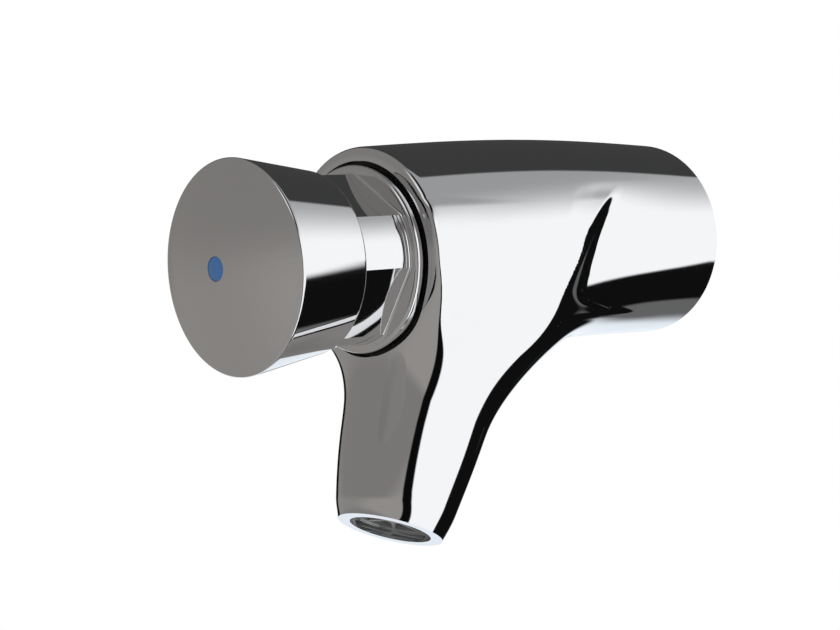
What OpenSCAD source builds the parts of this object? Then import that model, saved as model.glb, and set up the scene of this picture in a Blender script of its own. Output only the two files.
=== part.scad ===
// Wall-mounted push tap with timed closing
// Millimetres. +X to the right of someone facing the tap, +Y into the wall, +Z up.
// The origin lies on the wall plane, on the axis of the inlet and of the push button.

/* [Body casting] */
// Distance from the wall to the flat front face
body_len = 91; // [89:0.5:96]
// Barrel radius just behind the front face
barrel_front_r = 23.7; // [23.4:0.1:25]
// Half the height of the barrel at the wall
barrel_rear_r = 22.6; // [22.2:0.1:24]
// Half the width of the barrel at the wall
barrel_rear_half = 23.5; // [22.6:0.1:23.7]
// Rise of the arched barrel at its crown
barrel_arch = 1.7; // [0.5:0.1:2.4]
// Length over which the arch would come back to the axis
arch_span = 98; // [96:1:120]
// Rounding of the edge round the front face
front_round = 1.2; // [0.6:0.1:1.6]

/* [Spout] */
// Lean of the spout towards the user, in degrees from straight down
spout_tilt = 26; // [22:0.5:29]
// Height of the inlet axis above the middle of the outlet
outlet_drop = 57.4; // [55:0.2:64]
// Distance from the wall to the middle of the outlet
outlet_reach = 91.3; // [89:0.2:94]
// Outer radius of the spout at the outlet rim
outlet_r = 11.3; // [10.8:0.1:12.5]
// Growth of the radius in the rounded stretch above the rim
spout_swell = 1.3; // [0.6:0.1:1.8]
// Length of that rounded stretch
swell_len = 11; // [8:0.5:14]
// Growth of the radius for each millimetre up the spout
spout_taper = 0.115; // [0.09:0.005:0.14]
// Squareness of the spout's front corners, where 2 is round
front_square = 2.8; // [2:0.1:3.2]
// Squareness of the rear corners at the root of the spout, where 2 is round
rear_square = 2.6; // [2:0.1:3]
// Radius of the hollow sweep between the spout and the barrel
sweep_r = 48; // [44:1:52]
// Distance from the wall at which the sweep runs out
sweep_end = 31; // [28:1:36]
// Radius of the bore at the outlet
outlet_bore_r = 8.75; // [8.2:0.05:9.2]
// Depth of that bore
outlet_bore_len = 12; // [11:0.5:16]
// Radius of the waterway inside the spout
waterway_r = 7; // [5.5:0.1:7.4]

/* [Cartridge head] */
// Radius of the round neck that the button slides over
neck_r = 18; // [17.6:0.1:18.2]
// Length of the neck in front of the flange
neck_len = 18.2; // [17:0.2:20]
// Distance across the wrench flats
flats_across = 32; // [31:0.5:34]
// Turn of the wrench flats from the diagonal
flats_turn = 6.5; // [-40:0.5:40]
// How far the flange reaches out past the thread
flange_step = 1.9; // [1.4:0.1:2.2]
// How far the flange stands out of the body
flange_proud = 2.3; // [1.6:0.1:3]
// Thickness of the flange
flange_h = 3.8; // [3.2:0.1:4.6]
// Gap between the flange and the wall of its pocket in the front face
flange_gap = 0.9; // [0.6:0.1:1.2]
// Thickness of the flat seal behind the flange
head_seal_h = 1.5; // [1:0.1:2]
// Radius of the screw thread that holds the head
head_thread_r = 18; // [17.4:0.1:18.4]
// Length of that thread
head_thread_len = 10; // [8:0.5:11]
// Thickness of the head's front wall
head_wall = 6.5; // [6:0.1:7.5]

/* [Push button] */
// Radius at the rim of the face
button_r = 22; // [20.5:0.1:24]
// Outer radius at the back edge of the skirt
button_back_r = 19.1; // [18.9:0.1:20]
// Length from the rim of the face to the back edge
button_len = 19; // [18:0.2:21]
// Rise of the domed face
dome_rise = 4.4; // [4:0.1:6]
// Rounding of the rim and the back edge
button_round = 0.6; // [0.3:0.1:0.8]
// Thickness of the face at the rim
button_wall = 3; // [2.4:0.1:3.6]
// Space between the back edge and the flange with the button out
button_gap = 12.7; // [11:0.1:14]
// Travel of the button
button_travel = 9; // [6:0.5:9]
// Radius of the coloured dot in the middle of the face
dot_r = 2.45; // [2.4:0.05:3]
// Thickness of the dot
dot_h = 1.6; // [1.2:0.1:1.8]

/* [Rod and piston] */
// Radius of the rod
rod_r = 4; // [3.6:0.1:4.4]
// Radius of the thinner tail of the rod that carries the valve
rod_tail_r = 2.5; // [2:0.1:2.8]
// Depth of the rod's socket in the button
rod_socket = 2.5; // [1.5:0.1:3]
// Radius of the plain bush round the rod
bush_r = 7; // [6.6:0.1:8]
// Radius of the rubber ring's wire on the rod
rod_seal_wire = 0.75; // [0.6:0.05:0.9]
// Length of the piston
piston_len = 7; // [6:0.2:8]
// Space in front of the piston with the button out
piston_space = 2.8; // [2:0.1:3.5]
// Radius of the bore that the piston works in
piston_bore_r = 12.5; // [12:0.1:12.8]
// Thickness of the clip behind the piston
clip_h = 1; // [0.8:0.1:1.4]

/* [Return spring] */
// Radius of the spring, to the middle of its wire
spring_r = 10; // [9.6:0.1:10.8]
// Radius of the spring wire
spring_wire_r = 0.8; // [0.6:0.05:0.9]
// Length of the spring with the button out
spring_len = 33; // [30:0.5:36]
// Number of turns
spring_turns = 8; // [6:1:9]

/* [Sleeve and valve] */
// Outer radius of the sleeve
sleeve_r = 14.4; // [14.1:0.05:14.5]
// Radius of the throat behind the piston bore
throat_r = 9; // [8.6:0.1:9.2]
// Length of the throat
throat_len = 16; // [14:0.5:18]
// Radius of the side windows that let the water out
window_r = 4.5; // [3.5:0.1:5]
// Radius of the body's chamber round the sleeve
chamber_r = 16.5; // [16.3:0.1:17]
// Radius of the bore that seals on the sleeve's rear collar
gland_r = 16.2; // [16:0.05:16.2]
// Outer radius of the valve seat
seat_r = 12; // [11.4:0.1:12.4]
// Height of the valve seat
seat_h = 6; // [5:0.2:7]
// Radius of the hole through the seat
seat_hole_r = 6.5; // [5.5:0.1:7]
// Height of the seat's raised lip
seat_lip = 0.6; // [0.4:0.1:1]
// Radius of the rubber valve disc
valve_r = 9.5; // [8.8:0.1:9.8]
// Thickness of the rubber valve disc
valve_h = 3.5; // [2.5:0.1:4]
// Thickness of the metal behind the disc
holder_h = 3; // [2:0.1:3.5]
// Distance across the flats of the valve nut
nut_across = 8; // [7:0.5:10]
// Height of the valve nut
nut_h = 3.5; // [2.5:0.1:4]

/* [Inlet] */
// Radius of the inlet chamber behind the valve
inlet_r = 12.5; // [12:0.1:13]
// Outer radius of the half-inch pipe thread on the tail
tail_r = 10.48; // [10.2:0.01:10.6]
// Depth of the tail in the body
tail_in = 14; // [12:0.5:15]
// Length of the tail past the wall plane
tail_out = 10; // [8:0.5:12]
// Radius of the tail's wide bore for the regulator and the strainer
tail_bore_r = 7.5; // [7:0.1:7.8]
// Depth of that wide bore from the tail's end
tail_bore_len = 18; // [16:0.5:20]
// Radius of the tail's narrow bore
tail_hole_r = 6; // [5:0.1:6.4]
// Thickness of the flow regulator
regulator_h = 4; // [3:0.1:5]
// Radius of the strainer's tube
strainer_r = 5.6; // [5:0.1:6]
// Thickness of the strainer's collar
strainer_collar = 1.5; // [1:0.1:2]
// Thickness of the tail's stop collar
tail_collar_h = 1.6; // [1.2:0.1:2.4]
// Radius of the rubber ring's wire at the tail
tail_seal_wire = 1.2; // [1:0.05:1.4]
// Inner radius of the wall gasket
gasket_in_r = 15; // [14.6:0.1:16]
// Outer radius of the wall gasket
gasket_out_r = 20.5; // [19.5:0.1:20.8]
// Thickness of the wall gasket
gasket_h = 2.8; // [2:0.1:3.5]

/* [Flow straightener] */
// Depth of the straightener behind the outlet rim
straightener_set = 2; // [1:0.1:3]
// Height of the straightener
straightener_h = 9; // [6:0.5:10]
// Wall of its ring
straightener_wall = 1.1; // [0.8:0.1:1.4]
// Radius of its hub
straightener_hub = 1.8; // [1.2:0.1:2.4]
// Number of vanes
vanes = 8; // [4:1:10]
// Thickness of a vane
vane_t = 0.9; // [0.7:0.1:1.2]

/* [Clearances] */
// Radial clearance of fixed and screwed fits
fit_gap = 0.05; // [0.02:0.01:0.1]
// Radial clearance of running fits
run_gap = 0.05; // [0.02:0.01:0.09]
// Radial clearance between the skirt and the neck
skirt_gap = 0.3; // [0.2:0.05:0.4]
// End clearance of stacked pieces
end_gap = 0.2; // [0.1:0.05:0.3]

/* [Hidden] */
$fn = 96;

chrome = "#c9cdd2";
brass = "#c8a955";
steel = "#b5babf";
rubber = "#1d1e20";
white_plastic = "#ecebe4";
grey_plastic = "#8d9296";
blue_plastic = "#3c74d8";

// Flange and pocket follow the thread
flange_r = head_thread_r + flange_step;
pocket_r = flange_r + flange_gap;

// Stations along the axis, from the front to the wall
front_y = -body_len;
flange_front_y = front_y - flange_proud;
flange_back_y = flange_front_y + flange_h;
pocket_y = flange_back_y + head_seal_h;
thread_end_y = flange_back_y + head_thread_len;
neck_front_y = flange_front_y - neck_len;
head_wall_y = neck_front_y + head_wall;
button_back_y = flange_front_y - button_gap;
button_rim_y = button_back_y - button_len;
button_in_y = button_rim_y + button_wall;
dome_y = button_rim_y - dome_rise;
rod_front_y = button_in_y - rod_socket;
sleeve_front_y = head_wall_y + end_gap;
piston_front_y = sleeve_front_y + piston_space;
piston_back_y = piston_front_y + piston_len;
spring_back_y = piston_back_y + spring_len;
washer_h = 1;
shoulder_y = spring_back_y + washer_h;
seat_front_y = shoulder_y + throat_len;
sleeve_back_y = seat_front_y + seat_h;
chamber_end_y = sleeve_back_y + end_gap;
valve_front_y = sleeve_back_y + seat_lip + fit_gap;
valve_back_y = valve_front_y + valve_h;
holder_back_y = valve_back_y + holder_h;
nut_back_y = holder_back_y + nut_h;
rod_end_past = 1.4;
rod_back_y = nut_back_y + rod_end_past;

// Barrel of the casting: sections on a gently arched line, round in front and a little flatter at the wall
function share(y) = (y + body_len) / body_len;
function barrel_r(y) = barrel_front_r + (barrel_rear_r - barrel_front_r) * share(y);
function barrel_half(y) = barrel_front_r + (barrel_rear_half - barrel_front_r) * share(y);
function barrel_z(y) = barrel_arch * sin(180 * (y + body_len) / arch_span);
face_r = barrel_front_r - front_round;

// Rings of points joined into one closed skin
function ease(t) = let (u = min(1, max(0, t))) u * u * (3 - 2 * u);
function flat(rings) = [for (ring = rings) for (p = ring) p];
function skin(count, n) = concat(
    [[for (j = [0 : n - 1]) j]],
    [for (i = [0 : count - 2]) for (j = [0 : n - 1]) let (k = (j + 1) % n)
        each [[i * n + j, (i + 1) * n + j, i * n + k], [i * n + k, (i + 1) * n + j, (i + 1) * n + k]]],
    [[for (j = [n - 1 : -1 : 0]) (count - 1) * n + j]]
);
module loft(rings) polyhedron(points = flat(rings), faces = skin(len(rings), len(rings[0])));

barrel_sides = 48;
barrel_steps = 9;
round_steps = 3;
function barrel_ring(y, cut) = [for (j = [0 : barrel_sides - 1])
    let (a = -360 * j / barrel_sides)
    [(barrel_half(y) - cut) * cos(a), y, barrel_z(y) + (barrel_r(y) - cut) * sin(a)]];
barrel_rings = concat(
    [for (i = [0 : round_steps]) let (a = 90 * i / round_steps)
        barrel_ring(front_y + front_round * (1 - cos(a)), front_round * (1 - sin(a)))],
    [for (i = [1 : barrel_steps]) let (start = front_y + front_round)
        barrel_ring(start - start * i / barrel_steps, 0)]
);

// Spout: oval sections square to its leaning axis, s up the axis and p towards the wall
tilt_sin = sin(spout_tilt);
tilt_cos = cos(spout_tilt);
function spout_point(x, s, p) = [
    x,
    -outlet_reach + s * tilt_sin + p * tilt_cos,
    -outlet_drop + s * tilt_cos - p * tilt_sin
];
function spout_r(s) = outlet_r + spout_swell * sin(90 * min(1, s / swell_len)) + spout_taper * s;

// Front line: straight from the rim to the lower edge of the front face, then up inside the barrel
face_s = (outlet_reach - body_len) * tilt_sin + (outlet_drop - face_r) * tilt_cos;
face_p = (outlet_drop - face_r) * tilt_sin - (outlet_reach - body_len) * tilt_cos;
face_inset = 1.5;
function front_p(s) = s < face_s
    ? outlet_r + (face_p - outlet_r) * s / face_s
    : (s * tilt_sin - outlet_reach + body_len - face_inset * ease((s - face_s) / face_s))
        / (tilt_cos + tilt_sin * lean_back(s));

// Rear line: taper, then an arc that runs just into the underside of the barrel
sweep_bury = 0.5;
under_z = barrel_r(-sweep_end) - barrel_z(-sweep_end) - sweep_bury;
taper_slant = sqrt(1 + spout_taper * spout_taper);
sweep_s = (outlet_drop - under_z - sweep_r + tilt_sin * (outlet_r + spout_swell + sweep_r * taper_slant))
    / (tilt_cos - tilt_sin * spout_taper);
sweep_p = outlet_r + spout_swell + spout_taper * sweep_s + sweep_r * taper_slant;
sweep_start_s = sweep_s + sweep_r * spout_taper / taper_slant;
sweep_stop_s = sweep_s + sweep_r * tilt_cos;
function rear_p(s) = s < sweep_start_s
    ? spout_r(s)
    : sweep_p - sqrt(sweep_r * sweep_r - pow(min(s, sweep_stop_s) - sweep_s, 2)) + max(0, s - sweep_stop_s) / 2;

// Sides: taper, then a flare that meets the sides of the barrel just under its widest line
root_y = -outlet_reach + sweep_stop_s * tilt_sin;
root_inset = 1.2;
root_r = barrel_r(root_y) - root_inset;
flare_lead = 4;
flare_s = sweep_start_s - flare_lead;
root_top = 10;
spout_top_s = (outlet_drop + root_top) / tilt_cos;
root_tuck = 4;
function rooting(s) = ease((s - flare_s) / (sweep_stop_s - flare_s));
function tucking(s) = ease((s - sweep_stop_s) / (spout_top_s - sweep_stop_s));
function side_x(s) = spout_r(s) * (1 - rooting(s)) + root_r * rooting(s) - root_tuck * tucking(s);

// Sections lean back to level above the sweep
function lean_back(s) = tilt_sin / tilt_cos * tucking(s);
function level(s, p) = s + p * lean_back(s);
function front_corner(s) = 2 + (front_square - 2) * ease(s / swell_len);
function rear_corner(s) = 2 + (rear_square - 2) * rooting(s);
function bulge(v, n) = sign(v) * pow(abs(v), 2 / n);

spout_sides = 44;
spout_steps = 22;
function spout_ring(s) = [for (j = [0 : spout_sides - 1])
    let (
        a = 360 * j / spout_sides,
        front = sin(a) < 0,
        n = front ? front_corner(s) : rear_corner(s),
        p = (front ? front_p(s) : rear_p(s)) * bulge(sin(a), n)
    )
    spout_point(side_x(s) * bulge(cos(a), n), level(s, p), p)];
spout_rings = [for (i = [0 : spout_steps]) spout_ring(spout_top_s * i / spout_steps)];

// Turned pieces: an outline of [radius, station] points spun about the axis
module turned(points) rotate([-90, 0, 0]) rotate_extrude() polygon(points);
module tube(inner, outer, y0, y1) turned([[inner, y0], [outer, y0], [outer, y1], [inner, y1]]);
module ring(r, wire, y) rotate([-90, 0, 0]) rotate_extrude() translate([r, y]) circle(r = wire, $fn = 32);
module rod_along(r, y0, y1, sides = $fn) translate([0, y0, 0]) rotate([-90, 0, 0])
    cylinder(r = r, h = y1 - y0, $fn = sides);
module at_outlet() translate([0, -outlet_reach, -outlet_drop]) rotate([-spout_tilt, 0, 0]) children();
function arc(r, y, radius, from, to, n) = [for (i = [0 : n])
    let (a = from + (to - from) * i / n) [r + radius * cos(a), y + radius * sin(a)]];

over = 1;
chamber_start_y = thread_end_y + end_gap;
gland_len = 8;
gland_y = chamber_end_y - gland_len;
tail_pocket_r = tail_r + fit_gap + 2 * tail_seal_wire;
tail_pocket_h = end_gap + tail_collar_h + 2 * tail_seal_wire;

module tap_body() color(chrome) difference() {
    union() {
        loft(barrel_rings);
        loft(spout_rings);
    }
    turned([
        [0, front_y - over], [pocket_r, front_y - over], [pocket_r, pocket_y],
        [head_thread_r, pocket_y], [head_thread_r, chamber_start_y],
        [chamber_r, chamber_start_y], [chamber_r, gland_y],
        [gland_r, gland_y], [gland_r, chamber_end_y],
        [inlet_r, chamber_end_y], [inlet_r, -tail_in - end_gap],
        [tail_r + fit_gap, -tail_in - end_gap], [tail_r + fit_gap, -tail_pocket_h],
        [tail_pocket_r, -tail_pocket_h], [tail_pocket_r, over], [0, over]
    ]);
    tube(gasket_in_r, gasket_out_r, -gasket_h, over);
    at_outlet() translate([0, 0, -over]) cylinder(r = outlet_bore_r, h = outlet_bore_len + over);
    at_outlet() cylinder(r = waterway_r, h = sweep_stop_s - waterway_r);
}

flange_round = 0.9;
bush_hole_r = bush_r + fit_gap;
head_bore_r = sleeve_r + fit_gap;

module cartridge_head() color(chrome) difference() {
    union() {
        intersection() {
            rod_along(neck_r, neck_front_y, flange_front_y + over);
            rotate([0, -45 - flats_turn, 0])
                translate([-flats_across / 2, neck_front_y, -flats_across / 2])
                    cube([flats_across, neck_len + over, flats_across]);
        }
        turned(concat(
            [[0, flange_back_y], [0, flange_front_y]],
            arc(flange_r - flange_round, flange_front_y + flange_round, flange_round, -90, 0, 6),
            [[flange_r, flange_back_y]]
        ));
        rod_along(head_thread_r - fit_gap, flange_front_y + over, thread_end_y);
    }
    rod_along(bush_hole_r, neck_front_y - over, head_wall_y + over);
    rod_along(head_bore_r, head_wall_y, thread_end_y + over);
}

head_seal_fit = 0.1;
module head_seal() color(rubber)
    tube(head_thread_r + head_seal_fit, pocket_r - head_seal_fit, flange_back_y, pocket_y);

skirt_r = neck_r + skirt_gap;
dome_edge_r = button_r - button_round;
dome_h = dome_rise - button_round / 2;
dome_r = (dome_edge_r * dome_edge_r + dome_h * dome_h) / (2 * dome_h);
dome_angle = asin(dome_edge_r / dome_r);
skirt_lean = atan((button_r - button_back_r) / button_len);
screw_r = 1.5;
screw_len = 13;
screw_head_h = 2;
dot_back_y = dome_y + dot_h;
screw_head_y = dot_back_y + fit_gap;
screw_seat_y = screw_head_y + screw_head_h;

module push_button() color(chrome) difference() {
    turned(concat(
        arc(0, dome_y + dome_r, dome_r, -90, -90 + dome_angle, 16),
        arc(dome_edge_r, button_rim_y + button_round / 2, button_round, dome_angle - 90, skirt_lean, 4),
        arc(button_back_r - button_round, button_back_y - button_round, button_round, skirt_lean, 90, 5),
        [[skirt_r, button_back_y], [skirt_r, button_in_y], [rod_r + fit_gap, button_in_y],
            [rod_r + fit_gap, rod_front_y], [0, rod_front_y]]
    ));
    rod_along(dot_r + fit_gap, dome_y - over, screw_seat_y);
    rod_along(screw_r + fit_gap, dome_y, rod_front_y + over);
}

module button_dot() color(blue_plastic) rod_along(dot_r, dome_y, dot_back_y);

drive_across = 2;
drive_depth = 1.2;
module button_screw() color(steel) difference() {
    union() {
        rod_along(dot_r - fit_gap, screw_head_y, screw_seat_y);
        rod_along(screw_r, screw_head_y, screw_head_y + screw_len);
    }
    rod_along(drive_across / sqrt(3), screw_head_y - over, screw_head_y + drive_depth, 6);
}

collar_r = 5.5;
collar_h = 1.2;
clip_floor_r = 3.2;
clip_y = piston_back_y;
module piston_rod() color(steel) difference() {
    turned([
        [0, rod_front_y], [rod_r, rod_front_y],
        [rod_r, piston_front_y - collar_h], [collar_r, piston_front_y - collar_h],
        [collar_r, piston_front_y], [rod_r, piston_front_y],
        [rod_r, clip_y], [clip_floor_r, clip_y],
        [clip_floor_r, clip_y + clip_h], [rod_r, clip_y + clip_h],
        [rod_r, spring_back_y], [rod_tail_r, spring_back_y + rod_r - rod_tail_r],
        [rod_tail_r, rod_back_y], [0, rod_back_y]
    ]);
    rod_along(screw_r + fit_gap, rod_front_y - over, screw_head_y + screw_len + over);
}

rod_hole_r = rod_r + run_gap;
rod_groove_r = rod_hole_r + 2 * rod_seal_wire + fit_gap;
rod_groove_y = (neck_front_y + head_wall_y) / 2;
rod_groove_half = rod_seal_wire + fit_gap;
module rod_bush() color(white_plastic) turned([
    [rod_hole_r, neck_front_y], [bush_r, neck_front_y], [bush_r, head_wall_y],
    [rod_hole_r, head_wall_y], [rod_hole_r, rod_groove_y + rod_groove_half],
    [rod_groove_r, rod_groove_y + rod_groove_half], [rod_groove_r, rod_groove_y - rod_groove_half],
    [rod_hole_r, rod_groove_y - rod_groove_half]
]);

module rod_seal() color(rubber) ring(rod_hole_r + rod_seal_wire, rod_seal_wire, rod_groove_y);

land_gap = 0.3;
land_r = piston_bore_r - land_gap;
piston_floor_r = 8.5;
front_land = 2.4;
rear_land = 1.4;
lip_front_y = piston_front_y + front_land;
lip_back_y = piston_back_y - rear_land;
module piston() color(white_plastic) turned([
    [rod_r + fit_gap, piston_front_y], [land_r, piston_front_y], [land_r, lip_front_y],
    [piston_floor_r, lip_front_y], [piston_floor_r, lip_back_y], [land_r, lip_back_y],
    [land_r, piston_back_y], [rod_r + fit_gap, piston_back_y]
]);

lip_in_r = piston_floor_r + fit_gap;
lip_out_r = piston_bore_r - run_gap;
lip_t = 0.8;
lip_floor = 1.2;
module lip_seal() color(rubber) turned([
    [lip_in_r, lip_front_y + fit_gap], [lip_in_r, lip_back_y - fit_gap],
    [lip_out_r - lip_t / 2, lip_back_y - fit_gap], [lip_out_r, lip_front_y + fit_gap],
    [lip_out_r - lip_t, lip_front_y + fit_gap], [lip_out_r - 2 * lip_t, lip_back_y - lip_floor],
    [lip_in_r + lip_t, lip_back_y - lip_floor], [lip_in_r + lip_t, lip_front_y + fit_gap]
]);

clip_r = 6.5;
module piston_clip() color(steel) difference() {
    tube(clip_floor_r + fit_gap, clip_r, clip_y + fit_gap / 2, clip_y + clip_h - fit_gap / 2);
    translate([-clip_floor_r, clip_y - over, 0]) cube([2 * clip_floor_r, clip_h + 2 * over, clip_r + over]);
}

// One unbroken wire wound about the axis
curl_rings = 10;
wire_sides = 6;
spring_gap = 0.1;
wire_first_y = piston_back_y + spring_gap + spring_wire_r;
wire_last_y = spring_back_y - spring_gap - spring_wire_r;
wire_count = curl_rings * spring_turns;
wire_slope = atan((wire_last_y - wire_first_y) / (360 * spring_turns * PI / 180 * spring_r));
function wire_mid(i) = let (a = 360 * i / curl_rings)
    [spring_r * cos(a), wire_first_y + (wire_last_y - wire_first_y) * i / wire_count, spring_r * sin(a)];
function wire_ring(i) = let (a = 360 * i / curl_rings) [for (k = [0 : wire_sides - 1])
    let (b = 360 * k / wire_sides, out = spring_wire_r * cos(b), up = spring_wire_r * sin(b))
    wire_mid(i) + [
        out * cos(a) + up * sin(wire_slope) * sin(a),
        up * cos(wire_slope),
        out * sin(a) - up * sin(wire_slope) * cos(a)
    ]];
wire_gap = min([for (i = [0 : wire_count - curl_rings]) for (j = [i + curl_rings / 2 : wire_count])
    norm(wire_mid(i) - wire_mid(j))]) - 2 * spring_wire_r;
module return_spring() color(steel) {
    echo(least_gap_between_turns = wire_gap);
    loft([for (i = [0 : wire_count]) wire_ring(i)]);
}

washer_overhang = 0.5;
module spring_washer() color(steel)
    tube(throat_r - washer_overhang, piston_bore_r - land_gap, spring_back_y, shoulder_y);

groove_side = 0.1;
sleeve_ring_wire = 0.65;
sleeve_ring_set = 3;
sleeve_ring_y = thread_end_y - sleeve_ring_set;
sleeve_floor_r = head_bore_r - fit_gap - 2 * sleeve_ring_wire;
collar_out_r = gland_r - 2 * fit_gap;
collar_y = gland_y + end_gap;
seat_ring_wire = 1.1;
seat_ring_y = (collar_y + sleeve_back_y) / 2;
seat_floor_r = gland_r - fit_gap - 2 * seat_ring_wire;
seat_pocket_r = seat_r + fit_gap;
window_y = shoulder_y + throat_len / 2;
timing_groove_r = 0.5;
timing_groove_len = piston_space + piston_len + button_travel;

module cartridge_sleeve() color(grey_plastic) difference() {
    turned([
        [piston_bore_r, sleeve_front_y], [sleeve_r, sleeve_front_y],
        [sleeve_r, sleeve_ring_y - sleeve_ring_wire - groove_side],
        [sleeve_floor_r, sleeve_ring_y - sleeve_ring_wire - groove_side],
        [sleeve_floor_r, sleeve_ring_y + sleeve_ring_wire + groove_side],
        [sleeve_r, sleeve_ring_y + sleeve_ring_wire + groove_side],
        [sleeve_r, collar_y], [collar_out_r, collar_y],
        [collar_out_r, seat_ring_y - seat_ring_wire - groove_side],
        [seat_floor_r, seat_ring_y - seat_ring_wire - groove_side],
        [seat_floor_r, seat_ring_y + seat_ring_wire + groove_side],
        [collar_out_r, seat_ring_y + seat_ring_wire + groove_side],
        [collar_out_r, sleeve_back_y], [seat_pocket_r, sleeve_back_y],
        [seat_pocket_r, seat_front_y], [throat_r, seat_front_y],
        [throat_r, shoulder_y], [piston_bore_r, shoulder_y]
    ]);
    for (turn = [0, 90]) translate([0, window_y, 0]) rotate([0, turn + 45, 0])
        cylinder(r = window_r, h = 4 * sleeve_r, center = true);
    translate([0, 0, piston_bore_r]) rod_along(timing_groove_r, sleeve_front_y - over,
        sleeve_front_y + timing_groove_len);
}

module sleeve_seal() color(rubber)
    ring(sleeve_floor_r + sleeve_ring_wire + fit_gap / 2, sleeve_ring_wire, sleeve_ring_y);

module seat_seal() color(rubber)
    ring(seat_floor_r + seat_ring_wire + fit_gap / 2, seat_ring_wire, seat_ring_y);

lip_width = 1;
lip_slope = 1;
module valve_seat() color(brass) turned([
    [seat_hole_r, seat_front_y], [seat_r, seat_front_y], [seat_r, sleeve_back_y],
    [seat_hole_r + lip_width + lip_slope, sleeve_back_y],
    [seat_hole_r + lip_width, sleeve_back_y + seat_lip], [seat_hole_r, sleeve_back_y + seat_lip]
]);

module valve_disc() color(rubber) tube(rod_tail_r + fit_gap, valve_r, valve_front_y, valve_back_y);

holder_wall = 0.9;
holder_lip = 2;
module valve_holder() color(brass) turned([
    [rod_tail_r + fit_gap, valve_back_y], [valve_r + fit_gap, valve_back_y],
    [valve_r + fit_gap, valve_back_y - holder_lip], [valve_r + fit_gap + holder_wall, valve_back_y - holder_lip],
    [valve_r + fit_gap + holder_wall, holder_back_y], [rod_tail_r + fit_gap, holder_back_y]
]);

module valve_nut() color(brass) difference() {
    rod_along(nut_across / sqrt(3), holder_back_y, nut_back_y, 6);
    rod_along(rod_tail_r + fit_gap, holder_back_y - over, nut_back_y + over);
}

tail_chamfer = 1;
tail_step_y = tail_out - tail_bore_len;
tail_collar_r = tail_pocket_r - end_gap;
tail_collar_y = -end_gap - tail_collar_h;
module inlet_tail() color(brass) turned([
    [tail_hole_r, -tail_in], [tail_r - tail_chamfer, -tail_in], [tail_r, -tail_in + tail_chamfer],
    [tail_r, tail_collar_y], [tail_collar_r, tail_collar_y], [tail_collar_r, -end_gap], [tail_r, -end_gap],
    [tail_r, tail_out - tail_chamfer], [tail_r - tail_chamfer, tail_out], [tail_bore_r, tail_out],
    [tail_bore_r, tail_step_y], [tail_hole_r, tail_step_y]
]);

module tail_seal() color(rubber)
    ring(tail_r + fit_gap + tail_seal_wire, tail_seal_wire - fit_gap, tail_collar_y - tail_seal_wire);

regulator_back_y = tail_step_y + regulator_h;
regulator_holes = 8;
regulator_hole_r = 1.1;
regulator_pitch_r = 4.4;
module flow_regulator() color(white_plastic) difference() {
    rod_along(tail_bore_r - fit_gap, tail_step_y, regulator_back_y);
    for (i = [0 : regulator_holes - 1]) rotate([0, 360 * i / regulator_holes, 0])
        translate([regulator_pitch_r, 0, 0])
            rod_along(regulator_hole_r, tail_step_y - over, regulator_back_y + over);
}

strainer_t = 0.5;
strainer_front_y = regulator_back_y + end_gap;
strainer_back_y = tail_out - strainer_collar / 2;
strainer_hole_r = 0.7;
strainer_rows = 5;
strainer_round = 8;
strainer_pitch = (strainer_back_y - strainer_collar - strainer_front_y) / (strainer_rows + 1);
module inlet_strainer() color(steel) difference() {
    turned([
        [0, strainer_front_y], [strainer_r, strainer_front_y],
        [strainer_r, strainer_back_y - strainer_collar],
        [tail_bore_r - fit_gap, strainer_back_y - strainer_collar],
        [tail_bore_r - fit_gap, strainer_back_y], [strainer_r - strainer_t, strainer_back_y],
        [strainer_r - strainer_t, strainer_front_y + strainer_t], [0, strainer_front_y + strainer_t]
    ]);
    for (row = [1 : strainer_rows]) for (i = [0 : strainer_round / 2 - 1])
        translate([0, strainer_front_y + strainer_pitch * row, 0])
            rotate([0, (i + row / 2) * 360 / strainer_round, 0])
                cylinder(r = strainer_hole_r, h = 4 * strainer_r, center = true, $fn = 24);
}

gasket_fit = 0.1;
module wall_gasket() color(rubber)
    tube(gasket_in_r + gasket_fit, gasket_out_r - gasket_fit, -gasket_h, 0);

module flow_straightener() color(white_plastic) at_outlet() translate([0, 0, straightener_set]) {
    ring_r = outlet_bore_r - fit_gap;
    difference() {
        cylinder(r = ring_r, h = straightener_h);
        translate([0, 0, -over]) cylinder(r = ring_r - straightener_wall, h = straightener_h + 2 * over);
    }
    cylinder(r = straightener_hub, h = straightener_h);
    for (i = [0 : vanes - 1]) rotate([0, 0, 360 * i / vanes])
        translate([0, -vane_t / 2, 0]) cube([ring_r - straightener_wall / 2, vane_t, straightener_h]);
}

tap_body();
cartridge_head();
head_seal();
push_button();
button_dot();
button_screw();
piston_rod();
rod_bush();
rod_seal();
piston();
lip_seal();
piston_clip();
return_spring();
spring_washer();
cartridge_sleeve();
sleeve_seal();
seat_seal();
valve_seat();
valve_disc();
valve_holder();
valve_nut();
inlet_tail();
tail_seal();
flow_regulator();
inlet_strainer();
wall_gasket();
flow_straightener();
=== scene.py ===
import bmesh
import bpy
import math
import numpy as np
from mathutils import Matrix, Vector


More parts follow.
